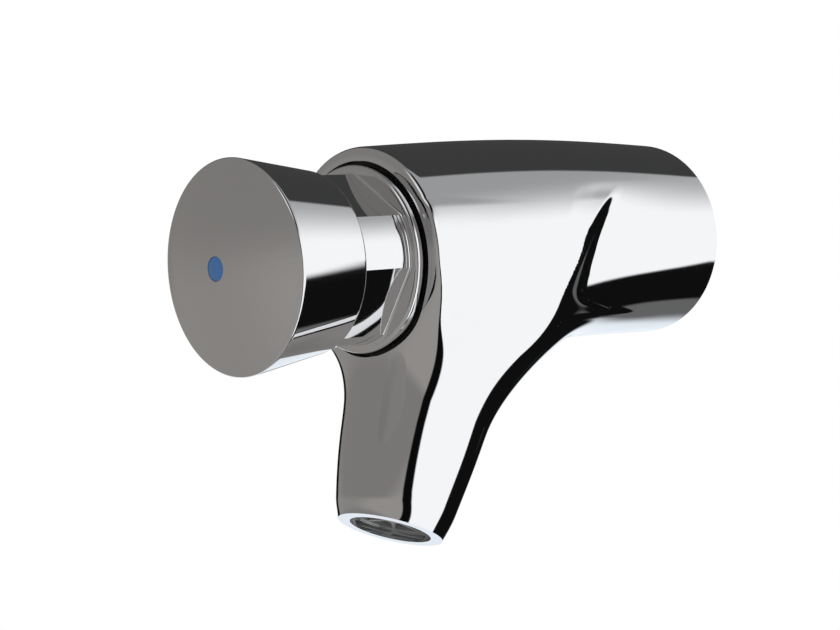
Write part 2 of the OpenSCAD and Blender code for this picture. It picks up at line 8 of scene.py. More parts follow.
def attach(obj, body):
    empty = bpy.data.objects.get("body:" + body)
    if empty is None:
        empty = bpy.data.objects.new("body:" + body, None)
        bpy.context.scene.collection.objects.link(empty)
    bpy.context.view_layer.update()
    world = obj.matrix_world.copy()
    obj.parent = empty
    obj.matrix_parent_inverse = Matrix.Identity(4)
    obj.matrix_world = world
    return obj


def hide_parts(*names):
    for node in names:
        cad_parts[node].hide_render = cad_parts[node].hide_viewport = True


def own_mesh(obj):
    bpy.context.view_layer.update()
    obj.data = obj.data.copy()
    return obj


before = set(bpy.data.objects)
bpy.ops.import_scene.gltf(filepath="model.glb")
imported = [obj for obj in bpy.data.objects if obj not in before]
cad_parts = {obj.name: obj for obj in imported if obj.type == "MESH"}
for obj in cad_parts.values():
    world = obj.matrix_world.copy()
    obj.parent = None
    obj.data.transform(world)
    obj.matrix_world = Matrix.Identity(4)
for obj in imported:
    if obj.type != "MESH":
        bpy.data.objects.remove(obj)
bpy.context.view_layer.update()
scene = bpy.context.scene
scene.view_settings.view_transform = "Standard"

# Pieces are drawn in millimetres in the tap's own frame and scaled to metres when they are finished:
# +X to the right of someone facing the tap, +Y into the wall, +Z up, origin on the wall plane
millimetre = 0.001


def linear(hexColour):
    channels = [int(hexColour[i:i + 2], 16) / 255 for i in (1, 3, 5)]
    return [c / 12.92 if c <= 0.04045 else ((c + 0.055) / 1.055) ** 2.4 for c in channels] + [1.0]


# Sockets are given by name, with _ for a space, or by number as in0, in1 and so on
def addNode(tree, kind, settings=None, **sockets):
    node = tree.nodes.new(kind)
    for name, value in (settings or {}).items():
        setattr(node, name, value)
    for name, value in sockets.items():
        key = int(name[2:]) if name.startswith("in") and name[2:].isdigit() else name.replace("_", " ")
        if isinstance(value, bpy.types.NodeSocket):
            tree.links.new(value, node.inputs[key])
        else:
            node.inputs[key].default_value = value
    return node


def newMaterial(name):
    material = bpy.data.materials.new(name)
    material.use_nodes = True
    tree = material.node_tree
    tree.nodes.clear()
    shader = addNode(tree, "ShaderNodeBsdfPrincipled")
    addNode(tree, "ShaderNodeOutputMaterial", Surface=shader.outputs["BSDF"])
    place = addNode(tree, "ShaderNodeTexCoord").outputs["Object"]
    return material, tree, shader, place


# Bright chrome plate on polished brass: mirror-like and slightly cool
def chromePlate(name):
    material, tree, shader, place = newMaterial(name)
    shader.inputs["Base Color"].default_value = linear("#dddee0")
    shader.inputs["Metallic"].default_value = 1.0
    return material, tree, shader, place


# The plate on the body and the head: a faint haze of wiping marks over the slow swell left by polishing
def polishedChrome():
    material, tree, shader, place = chromePlate("polishedChrome")
    hazeWidth, swellWidth, swellHeight = 18 * millimetre, 12 * millimetre, 0.4 * millimetre
    haze = addNode(tree, "ShaderNodeTexNoise", Vector=place, Scale=1 / hazeWidth, Detail=3.0).outputs["Fac"]
    rough = addNode(tree, "ShaderNodeMapRange", Value=haze, To_Min=0.025, To_Max=0.06)
    tree.links.new(rough.outputs["Result"], shader.inputs["Roughness"])
    swell = addNode(tree, "ShaderNodeTexNoise", Vector=place, Scale=1 / swellWidth, Detail=1.0).outputs["Fac"]
    bump = addNode(tree, "ShaderNodeBump", Strength=0.02, Distance=swellHeight, Height=swell)
    tree.links.new(bump.outputs["Normal"], shader.inputs["Normal"])
    return material


# The plate on the button: a mirror on the skirt, and on the face a satin sheen with marks from side to side,
# which are drawn coarser than real ones so that they show
def brushedChrome(faceEdge):
    material, tree, shader, place = chromePlate("brushedChrome")
    markLength, markWidth, markDepth = 30 * millimetre, 0.4 * millimetre, 0.05 * millimetre
    faceFull = faceEdge - 0.4 * millimetre
    depth = addNode(tree, "ShaderNodeSeparateXYZ", Vector=place).outputs["Y"]
    face = addNode(tree, "ShaderNodeMapRange", Value=depth, From_Min=faceEdge,
                   From_Max=faceFull).outputs["Result"]
    spread = (1 / markLength, 1 / markLength, 1 / markWidth)
    along = addNode(tree, "ShaderNodeMapping", Vector=place, Scale=spread).outputs["Vector"]
    marks = addNode(tree, "ShaderNodeTexNoise", Vector=along, Scale=1.0, Detail=2.0).outputs["Fac"]
    satin = addNode(tree, "ShaderNodeMapRange", Value=marks, To_Min=0.14, To_Max=0.3).outputs["Result"]
    rough = addNode(tree, "ShaderNodeMix", in0=face, in2=0.04, in3=satin)
    tree.links.new(rough.outputs[0], shader.inputs["Roughness"])
    relief = addNode(tree, "ShaderNodeMath", {"operation": "MULTIPLY"}, in0=face, in1=marks).outputs["Value"]
    bump = addNode(tree, "ShaderNodeBump", Strength=0.12, Distance=markDepth, Height=relief)
    tree.links.new(bump.outputs["Normal"], shader.inputs["Normal"])
    return material


# Two shades of one colour in soft grains, sized in millimetres, with the same grains in gloss and relief
def grainedMaterial(name, light, dark, grain, rough, metal=0.0, relief=0.1, stretch=(1, 1, 1), glow=0.0):
    material, tree, shader, place = newMaterial(name)
    width = grain * millimetre
    spread = addNode(tree, "ShaderNodeMapping", Vector=place, Scale=stretch).outputs["Vector"]
    noise = addNode(tree, "ShaderNodeTexNoise", Vector=spread, Scale=1 / width, Detail=4.0).outputs["Fac"]
    colour = addNode(tree, "ShaderNodeMix", {"data_type": "RGBA"}, in0=noise,
                     in6=linear(light), in7=linear(dark))
    tree.links.new(colour.outputs[2], shader.inputs["Base Color"])
    gloss = addNode(tree, "ShaderNodeMapRange", Value=noise, From_Min=0.3, From_Max=0.7,
                    To_Min=rough[0], To_Max=rough[1])
    tree.links.new(gloss.outputs["Result"], shader.inputs["Roughness"])
    bump = addNode(tree, "ShaderNodeBump", Strength=relief, Distance=width * 0.2, Height=noise)
    tree.links.new(bump.outputs["Normal"], shader.inputs["Normal"])
    shader.inputs["Metallic"].default_value = metal
    if glow:
        shader.inputs["Emission Color"].default_value = linear(light)
        shader.inputs["Emission Strength"].default_value = glow
    return material


chrome = polishedChrome()
# Pressed seals: soot black and dull, with the slight bloom of the mould
rubber = grainedMaterial("mouldedNitrileRubber", "#17181a", "#26272a", 1.2, (0.5, 0.68), relief=0.15)
# Lathe-turned brass: warm yellow, with rings drawn out round the axis
brass = grainedMaterial("turnedBrass", "#cba453", "#b98f3f", 2.2, (0.22, 0.38), 1.0, 0.12, (1, 9, 1))
# Drawn stainless wire and turned pins: cool grey, with fine marks along the axis
steel = grainedMaterial("drawnStainlessSteel", "#c3c6c9", "#a9adb1", 1.6, (0.2, 0.34), 1.0, 0.1, (6, 1, 6))
# Moulded acetal: off-white and waxy, faintly uneven
whiteAcetal = grainedMaterial("mouldedWhiteAcetal", "#e9e7df", "#dcd9cf", 4, (0.35, 0.5), relief=0.05)
# Moulded acetal, coloured through: plain mid grey with a low sheen
greyAcetal = grainedMaterial("mouldedGreyAcetal", "#b4b8ba", "#a4a8ab", 3, (0.32, 0.46), relief=0.06)
# Moulded marker: clear mid blue with a gloss face
blueInsert = grainedMaterial("mouldedBlueInsert", "#66a8fb", "#5c9ef2", 2, (0.22, 0.3), relief=0.03)
# Painted board under the tap: pale, matt and barely mottled, with a faint glow in place of a lamp over it
paleBoard = grainedMaterial("paleBoard", "#f4f4f2", "#efefec", 60, (0.7, 0.85), relief=0.02, glow=0.5)
print("materials ready")


def addObject(name, data):
    thing = bpy.data.objects.new(name, data)
    scene.collection.objects.link(thing)
    return thing


def meshFrom(bm):
    mesh = bpy.data.meshes.new("blank")
    bm.to_mesh(mesh)
    bm.free()
    return mesh


# The mesh that an object's modifiers give
def modifiedMesh(thing):
    bpy.context.view_layer.update()
    return bpy.data.meshes.new_from_object(thing.evaluated_get(bpy.context.evaluated_depsgraph_get()))


# A finished piece: scaled to metres, shaded smooth with sharp edges past the given angle, riding on its body
def finishPiece(mesh, name, body, material, replaced, sharp=32):
    mesh.name = name
    mesh.transform(Matrix.Scale(millimetre, 4))
    mesh.shade_smooth()
    if sharp:
        mesh.set_sharp_from_angle(angle=math.radians(sharp))
    mesh.materials.clear()
    mesh.materials.append(material)
    piece = addObject(name, mesh)
    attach(piece, body)
    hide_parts(replaced)
    return piece


# An outline of (radius, station) points spun about the tap's axis
def turn(bm, outline, steps=128, closed=True):
    ring = [bm.verts.new((r, y, 0)) for r, y in outline]
    pairs = list(zip(ring, ring[1:])) + ([(ring[-1], ring[0])] if closed else [])
    edges = [bm.edges.new(pair) for pair in pairs if not (pair[0].co.x < 1e-6 and pair[1].co.x < 1e-6)]
    bmesh.ops.spin(bm, geom=ring + edges, cent=(0, 0, 0), axis=(0, 1, 0), angle=2 * math.pi,
                   steps=steps, use_merge=True)
    bmesh.ops.remove_doubles(bm, verts=bm.verts, dist=1e-4)
    bmesh.ops.recalc_face_normals(bm, faces=bm.faces)


# Points close to both ends of a straight run, which keep its shading straight beside a rounded edge
def between(one, other):
    shares = (0.015, 0.03, 0.97, 0.985)
    return [(one[0] + (other[0] - one[0]) * t, one[1] + (other[1] - one[1]) * t) for t in shares]


def arcPoints(r, y, radius, start, stop, count):
    angles = [math.radians(start + (stop - start) * i / count) for i in range(count + 1)]
    return [(r + radius * math.cos(a), y + radius * math.sin(a)) for a in angles]


def edgesOf(verts):
    return list({edge for vert in verts for edge in vert.link_edges})


# A closed ring of edges through points given by angle and radius about the tap's axis
def addRing(bm, points, y):
    verts = [bm.verts.new((r * math.cos(a), y, r * math.sin(a))) for a, r in points]
    return [bm.edges.new(pair) for pair in zip(verts, verts[1:] + verts[:1])]


# Rings joined one to the next, and capped at both ends unless the last meets the first
def joinRings(bm, rings, closed=False):
    following = rings[1:] + rings[:1] if closed else rings[1:]
    for one, other in zip(rings, following):
        bmesh.ops.bridge_loops(bm, edges=one + other)
    if not closed:
        for ring in (rings[0], rings[-1]):
            bmesh.ops.contextual_create(bm, geom=ring)


# Body casting: an arched barrel and a leaning spout, blended into one skin. The letter s stands for the way
# up the spout's leaning axis from the outlet, and p for the way across it, towards the wall. A pair of
# numbers for the function rise is where a smooth step starts and how long it takes
bodyForm = {
    # the barrel, with its arched back
    "length": 91, "frontRadius": 23.7, "rearRadius": 22.6, "rearHalf": 23.6, "arch": 1.7, "archSpan": 98,
    # the spout: its lean in degrees, the outlet's place, and how it widens and squares up the axis
    "tilt": 26, "drop": 57.4, "reach": 91.3, "outletRadius": 11.3, "swell": 0.7, "swellLength": 6,
    "taper": 0.115, "frontSquare": 2.7, "rearSquare": 2.3, "squareUp": (-2, 22), "leastDepth": 4,
    # the sweep from the spout's rear to the underside of the barrel
    "sweepRadius": 48, "sweepEnd": 31, "sweepBury": 0.5,
    # the front of spout and barrel, and how its edge is rounded
    "faceInset": 1.2, "frontBlend": 4, "rimSwell": 0.7, "rimSwellUp": (0, 4), "rimSwellDown": (6, 18),
    "frontRound": 2.4, "edgeGrowth": 11, "edgeDown": (4, 18), "roundUp": (24, 20),
    # the root of the spout in the sides of the barrel
    "flareStart": 25, "rootAt": -45, "rootInset": 0.1, "crownTuck": 1.5, "crownUp": (8, 6), "crownMost": 0.95,
    "levelUp": (-24, 18), "cornerStart": 15.2, "cornerRise": 6.3, "cornerUp": (-2, 11.3), "cornerMost": 1.2,
    "cornerPower": 1.35, "sidePower": 2.2, "rootDepth": 17.2, "rootGrowth": 5.2, "growthUp": (-6, 9),
    "buryUp": (-18, 7), "sidesTop": 16, "topBlend": 2,
    # the hollow behind the root
    "hollow": 2.4, "hollowLine": 21.2, "hollowBend": 0.016, "hollowMiddle": 0.5, "hollowIn": (-12, 8),
    "hollowRun": 36, "fallUp": (-4, 16.5), "fallPowers": (1.8, 1.5), "lowShare": 0.3, "lowUp": (-20, 12),
    "hollowSides": (8, 8),
    # how softly barrel and spout meet
    "seamBlend": 0.15, "creaseBlend": 1.1, "creaseIn": (9, 7), "underBlend": 2, "underDown": (14.5, 9),
    "underAlong": (-60, 14), "underSides": (4, 8), "shoulderBlend": 3, "shoulderDown": (6, 14),
    "shoulderAlong": (58, 28),
    # the skin's mesh, finer along the hollow's crease
    "hullRings": 24, "overrun": 3, "spoutRun": 65, "voxel": 0.56, "relaxRounds": 4, "settleRounds": 3,
    "settleStep": 1.5, "fineMiddle": (5, -4), "fineHalf": (10.5, 15), "fineSides": 11,
    "skinGap": 0.08, "skinFacing": 0.35,
    # the bores
    "overcut": 1, "outletBore": 8.75, "outletBoreDepth": 12, "waterway": 7, "waterwayDepth": 54,
    "bore": [(0, -93), (20.8, -93), (20.8, -88), (18, -88), (18, -79.3), (16.5, -79.3), (16.5, -46.8),
             (16.2, -46.8), (16.2, -38.8), (12.5, -38.8), (12.5, -14.2), (10.53, -14.2), (10.53, -4.2),
             (12.93, -4.2), (12.93, 1), (0, 1)],
    "gasketGroove": (15, 20.5, 2.8),
}
tiltSin = math.sin(math.radians(bodyForm["tilt"]))
tiltCos = math.cos(math.radians(bodyForm["tilt"]))


def rise(value, span):
    t = np.clip((value - span[0]) / span[1], 0, 1)
    return t * t * (3 - 2 * t)


def softMin(a, b, k):
    h = np.maximum(k - np.abs(a - b), 0) / k
    return np.minimum(a, b) - h ** 3 * k / 6


def softMax(a, b, k):
    return -softMin(-a, -b, k)


# A size of the barrel that runs evenly from its front radius to the given one at the rear
def alongBarrel(y, rear):
    form = bodyForm
    return form["frontRadius"] + (rear - form["frontRadius"]) * (y + form["length"]) / form["length"]


def barrelRadius(y):
    return alongBarrel(y, bodyForm["rearRadius"])


def barrelHalf(y):
    return alongBarrel(y, bodyForm["rearHalf"])


def barrelHeight(y):
    return bodyForm["arch"] * np.sin(np.pi * (y + bodyForm["length"]) / bodyForm["archSpan"])


def spoutPlace(y, z):
    back, up = y + bodyForm["reach"], z + bodyForm["drop"]
    return back * tiltSin + up * tiltCos, back * tiltCos - up * tiltSin


def spoutRadius(s):
    form = bodyForm
    swelling = np.sin(np.pi / 2 * np.clip(s / form["swellLength"], -1, 1))
    return form["outletRadius"] + form["swell"] * swelling + form["taper"] * s


# Centre of the sweep's circle by s and p, and the part of the spout's rear that it makes
slant = math.sqrt(1 + bodyForm["taper"] ** 2)
underside = barrelRadius(-bodyForm["sweepEnd"]) - barrelHeight(-bodyForm["sweepEnd"]) - bodyForm["sweepBury"]
rootRadius = bodyForm["outletRadius"] + bodyForm["swell"]
sweepRise = (bodyForm["drop"] - underside - bodyForm["sweepRadius"]
             + tiltSin * (rootRadius + bodyForm["sweepRadius"] * slant))
sweepS = sweepRise / (tiltCos - tiltSin * bodyForm["taper"])
sweepP = rootRadius + bodyForm["taper"] * sweepS + bodyForm["sweepRadius"] * slant
sweepStart = sweepS + bodyForm["sweepRadius"] * bodyForm["taper"] / slant
sweepStop = sweepS + bodyForm["sweepRadius"] * tiltCos


# The rear of the spout: a taper, the sweep, and a straight run on from the sweep's end
def rearDepth(s):
    inside = np.maximum(bodyForm["sweepRadius"] ** 2 - (np.clip(s, sweepStart, sweepStop) - sweepS) ** 2, 0)
    swept = sweepP - np.sqrt(inside) + np.maximum(s - sweepStop, 0) * tiltCos / tiltSin
    return np.where(s < sweepStart, spoutRadius(s), swept)


# Foot of the barrel's face, where the front turns from leaning to upright
faceS, faceBack = spoutPlace(-bodyForm["length"], bodyForm["faceInset"] - bodyForm["frontRadius"])
faceP = -faceBack


# The front of the spout and of the barrel in one line: leaning below, upright above
def frontDepth(s):
    form = bodyForm
    leaning = form["outletRadius"] + (faceP - form["outletRadius"]) * s / faceS
    upright = (s - faceS) * tiltSin / tiltCos + faceP
    swell = form["rimSwell"] * rise(s, form["rimSwellUp"]) * (1 - rise(s, form["rimSwellDown"]))
    return softMax(leaning + swell, upright, form["frontBlend"])


# How far the spout has become part of the barrel
def rooting(s):
    return rise(s, (bodyForm["flareStart"], sweepStop - bodyForm["flareStart"]))


# Power of a section's curve: 2, which is round, at the outlet's rim, and squarer above it
def squareness(s, square):
    return 2 + (square - 2) * rise(s, bodyForm["squareUp"])


# Half the spout's width: a taper, then a flare that lies flush with the sides of the barrel
def halfWidth(s):
    form = bodyForm
    height = s * tiltCos - form["drop"]
    above = np.clip((height - form["arch"]) / barrelRadius(form["rootAt"]), 0, form["crownMost"])
    crown = (barrelHalf(form["rootAt"]) * np.sqrt(1 - above ** 2) - form["rootInset"]
             - form["crownTuck"] * rise(height, form["crownUp"]))
    return spoutRadius(s) * (1 - rooting(s)) + crown * rooting(s)


def frontField(p, s, step=0.1):
    lean = (frontDepth(s + step) - frontDepth(s - step)) / (2 * step)
    return (-p - frontDepth(s)) / np.sqrt(1 + lean ** 2)


# Distance from a section of the given half width, with an end of the given depth, rounded by two powers
def sectionField(w, u, half, depth, sidePower, endPower):
    w, u = np.clip(w, 1e-6, 6), np.clip(u, 1e-6, 6)
    slope = np.hypot(sidePower * w ** (sidePower - 1) / half, endPower * u ** (endPower - 1) / depth)
    return (w ** sidePower + u ** endPower - 1) / np.maximum(slope, 0.02)


# The spout twice over: its sides and rear running on forwards, and the same closed by a round front
def spoutFields(x, z, s, p):
    form = bodyForm
    station = s - p * tiltSin / tiltCos * rise(z, form["levelUp"])
    half, root = halfWidth(station), rooting(station)
    cornerFrom, cornerOver = form["cornerUp"]
    climb = np.clip((z - cornerFrom) / cornerOver, 0, form["cornerMost"])
    corner = form["cornerStart"] * root + form["cornerRise"] * climb ** 2
    buried = rise(z, form["buryUp"])
    rootDepth = form["rootDepth"] + form["rootGrowth"] * rise(z, form["growthUp"])
    rear = rearDepth(s) * (1 - buried) + (corner + rootDepth) * buried
    rear = np.maximum(rear, corner + form["leastDepth"])
    rearPower = squareness(s, form["rearSquare"])
    endPower = rearPower + (form["cornerPower"] - rearPower) * root
    sidePower = rearPower + (form["sidePower"] - rearPower) * root
    w = np.abs(x) / half
    behind = sectionField(w, (p - corner) / (rear - corner), half, rear - corner, sidePower, endPower)
    sides = np.where(p < corner, np.abs(x) - half, behind)
    front = np.maximum(frontDepth(s), form["leastDepth"])
    power = squareness(s, form["frontSquare"])
    ahead = sectionField(w, -p / front, half, front, power, power)
    return sides, np.where(p < 0, ahead, behind)


# How far the barrel's sides draw in behind the root of the spout: most at mid height, nothing near the top
def hollowing(x, z, p):
    form = bodyForm
    behind = p - form["hollowLine"] - form["hollowBend"] * (z - form["hollowMiddle"]) ** 2
    along = rise(behind, form["hollowIn"]) * np.clip(1 - np.maximum(behind, 0) / form["hollowRun"], 0, 1) ** 2
    fallFrom, fallOver = form["fallUp"]
    firstPower, lastPower = form["fallPowers"]
    fall = (1 - np.clip((z - fallFrom) / fallOver, 0, 1) ** firstPower) ** lastPower
    low = form["lowShare"] + (1 - form["lowShare"]) * rise(z, form["lowUp"])
    return form["hollow"] * along * fall * low * rise(np.abs(x), form["hollowSides"])


def barrelField(x, y, z):
    wide, high = barrelHalf(y), barrelRadius(y)
    u, v = x / wide, (z - barrelHeight(y)) / high
    r = np.maximum(np.hypot(u, v), 1e-4)
    return (r - 1) * r / np.maximum(np.hypot(u / wide, v / high), 1e-4)


# Distance of points from the skin of the casting, below 0 inside it
def bodyField(points):
    form = bodyForm
    x, y, z = points[:, 0], points[:, 1], points[:, 2]
    s, p = spoutPlace(y, z)
    sides, rounded = spoutFields(x, z, s, p)
    sides = softMax(sides, z - form["sidesTop"], form["topBlend"])
    under = rise(-z, form["underDown"]) * rise(y, form["underAlong"]) * rise(np.abs(x), form["underSides"])
    shoulder = rise(-z, form["shoulderDown"]) * rise(-y, form["shoulderAlong"])
    seam = form["seamBlend"] + (form["creaseBlend"] - form["seamBlend"]) * rise(p, form["creaseIn"])
    blend = seam + form["underBlend"] * under + form["shoulderBlend"] * shoulder
    flank = softMin(barrelField(x, y, z) + hollowing(x, z, p), sides, blend)
    edge = form["frontRound"] + form["edgeGrowth"] * rise(-z, form["edgeDown"])
    whole = softMax(flank, frontField(p, s), edge)
    upper = rise(s, form["roundUp"])
    return whole * upper + rounded * (1 - upper)


def bodySlope(points, step=0.02):
    steps = step * np.eye(3)
    return np.stack([(bodyField(points + d) - bodyField(points - d)) / (2 * step) for d in steps], 1)


# Slides the points of a mesh up or down the field's slope until they lie on the skin
def settleSkin(bm):
    form = bodyForm
    points = np.array([v.co for v in bm.verts])
    for _ in range(form["settleRounds"]):
        slope = bodySlope(points)
        push = bodyField(points) / np.maximum((slope ** 2).sum(1), 0.05)
        points = points - np.clip(push, -form["settleStep"], form["settleStep"])[:, None] * slope
    for vert, point in zip(bm.verts, points):
        vert.co = point


def roughHull(bm, matrices, sides=48):
    circles = [bmesh.ops.create_circle(bm, cap_ends=False, radius=1, segments=sides, matrix=matrix)["verts"]
               for matrix in matrices]
    joinRings(bm, [edgesOf(circle) for circle in circles])


# Takes away from a mesh what each of the builders draws
def cutAway(mesh, builders):
    target = addObject("blank", mesh)
    cutters = []
    for build in builders:
        bm = bmesh.new()
        build(bm)
        cutter = addObject("cutter", meshFrom(bm))
        cutters.append(cutter)
        cut = target.modifiers.new("cut", "BOOLEAN")
        cut.operation, cut.solver, cut.object = "DIFFERENCE", "EXACT", cutter
    result = modifiedMesh(target)
    for gone in cutters + [target]:
        bpy.data.objects.remove(gone)
    return result


def boreCutter(bm):
    turn(bm, bodyForm["bore"], 96)


def gasketCutter(bm):
    inner, outer, depth = bodyForm["gasketGroove"]
    past = bodyForm["overcut"]
    turn(bm, [(inner, -depth), (outer, -depth), (outer, past), (inner, past)], 96)


outletTurn = Matrix.Rotation(math.radians(90 - bodyForm["tilt"]), 4, "X")
atOutlet = Matrix.Translation((0, -bodyForm["reach"], -bodyForm["drop"])) @ outletTurn


def outletCutter(bm):
    form = bodyForm
    bore, step, past = form["outletBore"], form["outletBoreDepth"], form["overcut"]
    turn(bm, [(0, -past), (bore, -past), (bore, step), (form["waterway"], step),
              (form["waterway"], form["waterwayDepth"]), (0, form["waterwayDepth"])], 96)
    bmesh.ops.transform(bm, matrix=atOutlet, verts=bm.verts)


# Barrel and spout as two rough hulls, made one skin of even voxels
def castingBlank():
    form = bodyForm
    bm = bmesh.new()
    count = form["hullRings"]
    barrelRings = []
    for i in range(count + 1):
        y = -form["length"] + (form["length"] + form["overrun"]) * i / count
        size = Matrix.Diagonal((barrelRadius(y), barrelRadius(y), 1, 1))
        origin = Matrix.Translation((0, y, barrelHeight(y)))
        barrelRings.append(origin @ Matrix.Rotation(math.pi / 2, 4, "X") @ size)
    roughHull(bm, barrelRings)
    leaning = Matrix(((1, 0, 0, 0), (0, tiltCos, tiltSin, 0), (0, -tiltSin, tiltCos, 0), (0, 0, 0, 1)))
    spoutRings = []
    for i in range(count + 1):
        s = -form["overrun"] + form["spoutRun"] * i / count
        front, rear = float(frontDepth(s)), float(rearDepth(s))
        middle = (rear - front) / 2
        origin = Matrix.Translation((0, -form["reach"] + s * tiltSin + middle * tiltCos,
                                     -form["drop"] + s * tiltCos - middle * tiltSin))
        size = Matrix.Diagonal((float(halfWidth(s)), (front + rear) / 2, 1, 1))
        spoutRings.append(origin @ leaning @ size)
    roughHull(bm, spoutRings)
    bmesh.ops.recalc_face_normals(bm, faces=bm.faces)
    blank = addObject("blank", meshFrom(bm))
    remesh = blank.modifiers.new("voxels", "REMESH")
    remesh.mode, remesh.voxel_size = "VOXEL", form["voxel"]
    skin = modifiedMesh(blank)
    bpy.data.objects.remove(blank)
    return skin


# Divides the skin's edges beside the crease
def refineCrease(bm):
    form = bodyForm
    places = np.array([v.co for v in bm.verts])
    _, p = spoutPlace(places[:, 1], places[:, 2])
    beside = np.abs(p - form["hollowLine"] - form["fineMiddle"][0]) < form["fineHalf"][0]
    level = np.abs(places[:, 2] - form["fineMiddle"][1]) < form["fineHalf"][1]
    near = beside & level & (np.abs(places[:, 0]) > form["fineSides"])
    bm.verts.index_update()
    edges = [e for e in bm.edges if near[e.verts[0].index] and near[e.verts[1].index]]
    bmesh.ops.subdivide_edges(bm, edges=edges, cuts=1, use_grid_fill=True)


# Cuts the skin off along a plane and caps it
def trimFlat(bm, place, outward):
    everything = bm.verts[:] + bm.edges[:] + bm.faces[:]
    cut = bmesh.ops.bisect_plane(bm, geom=everything, plane_co=place, plane_no=outward, clear_outer=True)
    bmesh.ops.contextual_create(bm, geom=[e for e in cut["geom_cut"] if isinstance(e, bmesh.types.BMEdge)])


# Shading of the blended skin comes from the form itself, so that reflections run clean over it
def shadeFromForm(mesh):
    corners = np.zeros(len(mesh.vertices) * 3)
    mesh.vertices.foreach_get("co", corners)
    places = corners.reshape(-1, 3)
    slope = bodySlope(places)
    slope /= np.linalg.norm(slope, axis=1)[:, None]
    gap = np.abs(bodyField(places))
    loopNormals = np.zeros((len(mesh.loops), 3))
    for face in mesh.polygons:
        verts = list(face.vertices)
        facing = (slope[verts] @ np.array(face.normal)).min()
        if gap[verts].max() < bodyForm["skinGap"] and facing > bodyForm["skinFacing"]:
            loopNormals[list(face.loop_indices)] = slope[verts]
    mesh.normals_split_custom_set(loopNormals.tolist())


def tapBody():
    form = bodyForm
    bm = bmesh.new()
    bm.from_mesh(castingBlank())
    for _ in range(form["relaxRounds"]):
        bmesh.ops.smooth_vert(bm, verts=bm.verts, factor=0.5, use_axis_x=True, use_axis_y=True,
                              use_axis_z=True)
        settleSkin(bm)
    refineCrease(bm)
    settleSkin(bm)
    trimFlat(bm, (0, 0, 0), (0, 1, 0))
    trimFlat(bm, (0, -form["reach"], -form["drop"]), (0, -tiltSin, -tiltCos))
    print("casting skin:", len(bm.faces), "faces")
    mesh = cutAway(meshFrom(bm), [boreCutter, gasketCutter, outletCutter])
    mesh.shade_smooth()
    mesh.set_sharp_from_angle(angle=math.radians(32))
    shadeFromForm(mesh)
    finishPiece(mesh, "tapBody", "housing", chrome, "tap_body", 0)


tapBody()
print("body casting ready")

# Push button: a hollow tapering cap with a domed face
buttonForm = {"rim": 22, "back": 19.1, "rimAt": -125, "backAt": -106, "rise": 4.4, "round": 0.6, "wall": 3,
              "skirt": 18.3, "skirtBreak": 0.2, "rodHole": 4.05, "rodAt": -124.5, "dotHole": 2.5,
              "dotFloor": -125.75, "screwHole": 1.55, "satinEdge": 0.1}


def pushButton():
    form = buttonForm
    rounding, backAt = form["round"], form["backAt"]
    edge = form["rim"] - rounding
    domeHeight = form["rise"] - rounding / 2
    domeRadius = (edge ** 2 + domeHeight ** 2) / (2 * domeHeight)
    apex = form["rimAt"] - form["rise"]
    reach = math.degrees(math.asin(edge / domeRadius))
    hole = math.degrees(math.asin(form["dotHole"] / domeRadius))
    lean = math.degrees(math.atan((form["rim"] - form["back"]) / (backAt - form["rimAt"])))
    inside = form["rimAt"] + form["wall"]
    outline = arcPoints(0, apex + domeRadius, domeRadius, -90 + hole, -90 + reach, 24)
    outline += arcPoints(edge, form["rimAt"] + rounding / 2, rounding, reach - 90, lean, 6)
    backEdge = arcPoints(form["back"] - rounding, backAt - rounding, rounding, lean, 90, 6)
    outline += between(outline[-1], backEdge[0])
    outline += backEdge
    outline += [(form["skirt"] + form["skirtBreak"], backAt), (form["skirt"], backAt - form["skirtBreak"]),
                (form["skirt"], inside), (form["rodHole"], inside), (form["rodHole"], form["rodAt"]),
                (form["screwHole"], form["rodAt"]), (form["screwHole"], form["dotFloor"]),
                (form["dotHole"], form["dotFloor"])]
    bm = bmesh.new()
    turn(bm, outline, 160)
    plate = brushedChrome((form["rimAt"] + form["satinEdge"]) * millimetre)
    finishPiece(meshFrom(bm), "pushButton", "plunger", plate, "push_button", 25)


pushButton()
print("push button ready")

# Marker in the middle of the button's face, slightly domed: the crown is a point of the dome, by shares of
# the radius and of the sag
dotForm = {"radius": 2.45, "front": -129.4, "back": -127.8, "round": 0.22, "sag": 0.05, "crown": (0.45, 0.25)}


def buttonDot():
    form = dotForm
    edge = form["front"] + form["sag"] + form["round"]
    outline = [(0, form["front"])]
    outline += [(form["radius"] * form["crown"][0], form["front"] + form["sag"] * form["crown"][1])]
    outline += arcPoints(form["radius"] - form["round"], edge, form["round"], -80, 0, 5)
    outline += [(form["radius"], form["back"]), (0, form["back"])]
    bm = bmesh.new()
    turn(bm, outline, 64, False)
    finishPiece(meshFrom(bm), "buttonDot", "plunger", blueInsert, "button_dot")


# Cartridge head: a neck with four wrench flats, filleted into a round flange, and its shank behind, drawn
# without its thread
headForm = {
    "neck": 18, "across": 32, "turn": 51.5, "front": -111.5, "chamfer": 0.5, "flangeFront": -93.3,
    "fillet": 0.6, "filletSteps": 6, "filletLead": 0.2, "flange": 19.9, "flangeBack": -89.5,
    "flangeRound": 0.9, "edgeBreak": 0.25, "shank": 17.95, "shankEnd": -79.5,
    "flatSteps": 12, "roundSteps": 18,
    "bore": [(0, -113), (7.05, -113), (7.05, -105), (14.45, -105), (14.45, -78), (0, -78)],
}


